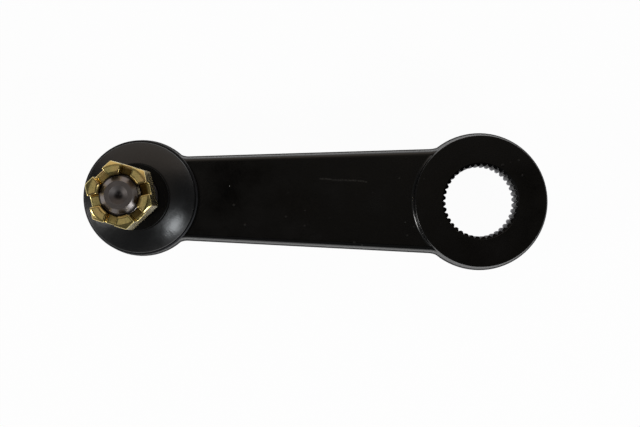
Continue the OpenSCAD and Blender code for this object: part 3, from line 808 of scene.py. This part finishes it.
class PITMAN_OT_stage(bpy.types.Operator):
    """Makes the camera, the floor, the lamps and the world"""

    bl_idname = "pitman.stage"
    bl_label = "Stage"

    def execute(self, context):
        settings = context.scene.pitman_arm.stage
        context.scene.view_settings.view_transform = "Standard"
        self.camera(context, settings)
        self.floor(settings)
        self.lamps(settings)
        self.world(context)
        return {"FINISHED"}

    def camera(self, context, settings):
        """Looks straight down on the arm, as the photo does."""
        data = bpy.data.cameras.new("camera")
        data.sensor_width = SENSOR_W
        data.lens = settings.focal_px * SENSOR_W / PHOTO_W
        data.clip_start, data.clip_end = 0.05, 50.0
        camera = bpy.data.objects.new("camera", data)
        context.scene.collection.objects.link(camera)
        view = Matrix.Rotation(settings.tilt, 4, "X") @ Matrix.Rotation(settings.roll, 4, "Z")
        camera.matrix_world = (
            Matrix.Translation(settings.target) @ view @ Matrix.Translation((0.0, 0.0, settings.distance))
        )
        context.scene.camera = camera

    def floor(self, settings):
        """A pale floor that looks white and still takes the arm's shadow."""
        half = settings.floor_size / 2
        mesh = bpy.data.meshes.new("floor")
        corners = [(x * half, y * half, ARM_LOW.z) for x, y in ((-1, -1), (1, -1), (1, 1), (-1, 1))]
        mesh.from_pydata(corners, [], [(0, 1, 2, 3)])
        floor = new_piece("floor", mesh)
        material = bpy.data.materials.new("floor")
        material.use_nodes = True
        tree = material.node_tree
        tree.nodes.remove(tree.nodes["Principled BSDF"])
        diffuse = add(tree, "ShaderNodeBsdfDiffuse", {"Color": (0.82, 0.82, 0.82, 1.0)}).outputs[0]
        white = add(tree, "ShaderNodeEmission", {"Strength": 1.0}).outputs[0]
        path = add(tree, "ShaderNodeLightPath").outputs
        seen = maths(tree, "MAXIMUM", path["Is Camera Ray"], path["Is Glossy Ray"])
        seen = maths(tree, "MAXIMUM", seen, path["Is Transmission Ray"])
        share = maths(tree, "MULTIPLY", seen, settings.floor_white)
        surface = add(tree, "ShaderNodeMixShader", {0: share, 1: diffuse, 2: white}).outputs[0]
        tree.links.new(surface, tree.nodes["Material Output"].inputs["Surface"])
        material.cycles.emission_sampling = "NONE"
        set_material(floor, material)

    def lamps(self, settings):
        """Soft boxes: azimuth from +X, height, distance, width, rise, power, colour and what they spare."""
        middle = Vector(settings.target)
        spared = bpy.data.collections.new(SPARED)
        boxes = (
            ("cool_front", -45, 31, 0.8, 0.28, 0.40, 3.5, (0.93, 0.97, 1.0), spared),
            ("left_front", 199, 31, 0.9, 0.16, 0.16, 2.5, (1.0, 0.99, 0.97), None),
        )
        for name, azimuth, height, distance, width, rise, power, colour, receivers in boxes:
            data = bpy.data.lights.new(name, "AREA")
            data.shape = "ELLIPSE"
            data.size, data.size_y, data.energy, data.color = width, rise, power, colour
            lamp = bpy.data.objects.new(name, data)
            bpy.context.scene.collection.objects.link(lamp)
            a, h = math.radians(azimuth), math.radians(height)
            way = Vector((math.cos(a) * math.cos(h), math.sin(a) * math.cos(h), math.sin(h)))
            lamp.location = middle + way * distance
            lamp.rotation_euler = way.to_track_quat("Z", "Y").to_euler()
            lamp.light_linking.receiver_collection = receivers

    def world(self, context):
        """White to the camera; for light, a dim room with a dark ceiling and a warm far side."""
        world = bpy.data.worlds.new("studio")
        world.use_nodes = True
        context.scene.world = world
        tree = world.node_tree
        room = tree.nodes["Background"]
        way = add(tree, "ShaderNodeTexCoord").outputs["Generated"]
        to = add(tree, "ShaderNodeSeparateXYZ", {0: way}).outputs

        # Dim walls, and a warm one behind the arm
        dim, warm = (0.085, 0.087, 0.09, 1.0), (0.74, 0.64, 0.56, 1.0)
        walls = mix_colour(tree, remap(tree, to["Y"], 0.40, 0.72, smooth=True), dim, warm)

        # Dark ceiling with a dusky far half, whose edge steps back to the left and over the boss
        haze, glow = (0.11, 0.11, 0.11, 1.0), (0.21, 0.19, 0.165, 1.0)
        dark = mix_colour(tree, remap(tree, to["Z"], 0.93, 0.985, smooth=True), haze, BLACK)
        left = remap(tree, to["X"], -0.05, 0.01, -0.16, 0.09)
        right = remap(tree, to["X"], 0.038, 0.046, 0.0, -0.1)
        edge = maths(tree, "ADD", maths(tree, "ADD", left, right), to["Y"])
        dusk = mix_colour(tree, remap(tree, edge, 0.0, 0.06), dark, glow)

        # Pale patch of ceiling, which the nut's lugs mirror
        patch_way, patch = (-0.22, 0.02, 0.976), (0.46, 0.45, 0.43, 1.0)
        from_patch = vectors(tree, "DISTANCE", way, patch_way, output="Value")
        above = mix_colour(tree, remap(tree, from_patch, 0.15, 0.09, smooth=True), dusk, patch)
        ceiling = remap(tree, to["Z"], 0.62, 0.88, smooth=True)
        shade = mix_colour(tree, ceiling, walls, above)
        seen = add(tree, "ShaderNodeLightPath").outputs["Is Camera Ray"]
        tree.links.new(mix_colour(tree, seen, shade, WHITE), room.inputs["Color"])


class PITMAN_OT_arm(bpy.types.Operator):
    """Paints the forging"""

    bl_idname = "pitman.arm"
    bl_label = "Painted arm"

    def execute(self, context):
        forging = merged_copy("arm", "painted_arm")
        self.soften_flash(forging.data)
        weigh_normals(forging)
        bake_modifiers(forging)
        set_material(forging, black_paint(context.scene.pitman_arm.paint))
        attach(forging, "arm")
        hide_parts("arm")
        self.spare(forging)
        return {"FINISHED"}

    def spare(self, forging):
        """Keeps the large soft box off the gloss paint, whose flats would mirror it as a white sheet."""
        spared = bpy.data.collections[SPARED]
        spared.objects.link(forging)
        spared.collection_objects[-1].light_linking.link_state = "EXCLUDE"

    def soften_flash(self, mesh):
        """Takes the hard edges off the trimmed flash, where the two forging dies met."""
        near = [abs(vertex.co.z) < FLASH_HEIGHT for vertex in mesh.vertices]
        for edge in mesh.edges:
            if all(near[index] for index in edge.vertices):
                edge.use_edge_sharp = False


class PITMAN_OT_stud(bpy.types.Operator):
    """Turns the ball stud with its thread and split pin hole"""

    bl_idname = "pitman.stud"
    bl_label = "Threaded stud"

    def execute(self, context):
        settings = context.scene.pitman_arm.stud
        material = turned_steel(
            "stud_steel",
            settings.steel,
            roughness=0.36,
            coordinates=stud_coordinates,
            pitch=0.00025,
            stud=settings,
        )
        stud = turned_piece(
            "threaded_stud",
            stud_profile(settings),
            Sides=96,
            Centre=BALL_CENTRE,
            Lean=STUD_LEAN,
            Thread_Radius=settings.thread_radius,
            Thread_Depth=settings.thread_pitch * THREAD_DEPTH,
            Thread_Pitch=settings.thread_pitch,
            Thread_From=settings.taper_high + settings.relief_length,
            Material=material,
        )
        self.drill(stud)
        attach(stud, "stud")
        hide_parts("ball_stud")
        return {"FINISHED"}

    def drill(self, stud):
        """Cuts the split pin hole through the thread."""
        drill = bmesh.new()
        bmesh.ops.create_cone(
            drill, cap_ends=True, segments=32, radius1=PIN_RADIUS, radius2=PIN_RADIUS, depth=PIN_RADIUS * 12
        )
        turn = Vector((0.0, 0.0, 1.0)).rotation_difference(PIN_AXIS).to_matrix().to_4x4()
        drill.transform(Matrix.Translation(PIN_CENTRE) @ turn)
        mesh = bpy.data.meshes.new("drill")
        drill.to_mesh(mesh)
        drill.free()
        tool = new_piece("drill", mesh)
        hole = stud.modifiers.new("Split pin hole", "BOOLEAN")
        hole.operation, hole.solver, hole.object = "DIFFERENCE", "EXACT", tool
        bake_modifiers(stud)
        bpy.data.objects.remove(tool)
        bpy.data.meshes.remove(mesh)


class PITMAN_OT_nut(bpy.types.Operator):
    """Plates the slotted nut and wears its edges round"""

    bl_idname = "pitman.nut"
    bl_label = "Slotted nut"

    def execute(self, context):
        settings = context.scene.pitman_arm.nut
        nut = merged_copy("castle_nut", "slotted_nut")
        cells = nut.modifiers.new("Cells", "REMESH")
        cells.mode, cells.voxel_size, cells.use_smooth_shade = "VOXEL", settings.grid, True
        wear = nut.modifiers.new("Wear", "SMOOTH")
        wear.factor, wear.iterations = 0.5, settings.wear
        bake_modifiers(nut)
        set_material(nut, yellow_zinc(settings))
        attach(nut, "stud")
        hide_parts("castle_nut")
        return {"FINISHED"}


class PITMAN_OT_boot(bpy.types.Operator):
    """Moulds the rubber boot, whose upper part leans as the stud does"""

    bl_idname = "pitman.boot"
    bl_label = "Rubber boot"

    def execute(self, context):
        settings = context.scene.pitman_arm.boot
        base = BOOT_LOW.z - BOOT_FIT - BALL_CENTRE.z
        boot = turned_piece(
            "rubber_boot",
            boot_profile(settings, base),
            Sides=128,
            Centre=BALL_CENTRE,
            Lean=STUD_LEAN,
            Lean_From=base + settings.ring_height,
            Lean_To=base + settings.lean_high,
            Sharp_Angle=BOOT_SHARP_ANGLE,
            Material=boot_rubber(settings),
        )
        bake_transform(boot)
        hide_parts("dust_boot")
        return {"FINISHED"}


class PITMAN_OT_joint_pieces(bpy.types.Operator):
    """Finishes the seats, the spring, the cover and the two wire rings"""

    bl_idname = "pitman.joint_pieces"
    bl_label = "Joint pieces"

    def execute(self, context):
        nodes = frame["nodes"]
        plastic = seat_plastic()
        for seat in ("upper_ball_seat", "lower_ball_seat"):
            set_material(nodes[seat], plastic)
        finishes = (
            ("disc_spring", "spring_steel", (0.30, 0.31, 0.33), 0.30, 0.0004),
            ("cover_plate", "cover_steel", (0.46, 0.47, 0.49), 0.32, 0.0003),
        )
        for node, slot, colour, roughness, pitch in finishes:
            set_material(nodes[node], turned_steel(slot, colour, roughness, socket_coordinates, pitch))
        wire = turned_steel("ring_steel", (0.03, 0.03, 0.032), 0.5, socket_coordinates, 0.0002)
        for ring in ("boot_base_ring", "boot_neck_ring"):
            set_material(nodes[ring], wire)
        return {"FINISHED"}


class VIEW3D_PT_pitman_arm(bpy.types.Panel):
    """Lists the steps in the order in which they run"""

    bl_label = "Pitman Arm"
    bl_space_type = "VIEW_3D"
    bl_region_type = "UI"
    bl_category = "Pitman Arm"

    def draw(self, context):
        for step in STEPS:
            self.layout.operator(step.bl_idname, text=step.bl_label)


STEPS = (
    PITMAN_OT_stage,
    PITMAN_OT_arm,
    PITMAN_OT_stud,
    PITMAN_OT_nut,
    PITMAN_OT_boot,
    PITMAN_OT_joint_pieces,
)
CLASSES = (
    StageSettings,
    PaintSettings,
    StudSettings,
    NutSettings,
    BootSettings,
    PitmanArmSettings,
    *STEPS,
    VIEW3D_PT_pitman_arm,
)


def register():
    """Registers the settings, the operators and the panel."""
    for cls in CLASSES:
        bpy.utils.register_class(cls)
    bpy.types.Scene.pitman_arm = bpy.props.PointerProperty(type=PitmanArmSettings)


def unregister():
    """Takes back what register did."""
    del bpy.types.Scene.pitman_arm
    for cls in reversed(CLASSES):
        bpy.utils.unregister_class(cls)


def main():
    """Runs the steps in order."""
    register()
    bpy.ops.pitman.stage()
    bpy.ops.pitman.arm()
    bpy.ops.pitman.stud()
    bpy.ops.pitman.nut()
    bpy.ops.pitman.boot()
    bpy.ops.pitman.joint_pieces()


if __name__ == "__main__":
    main()
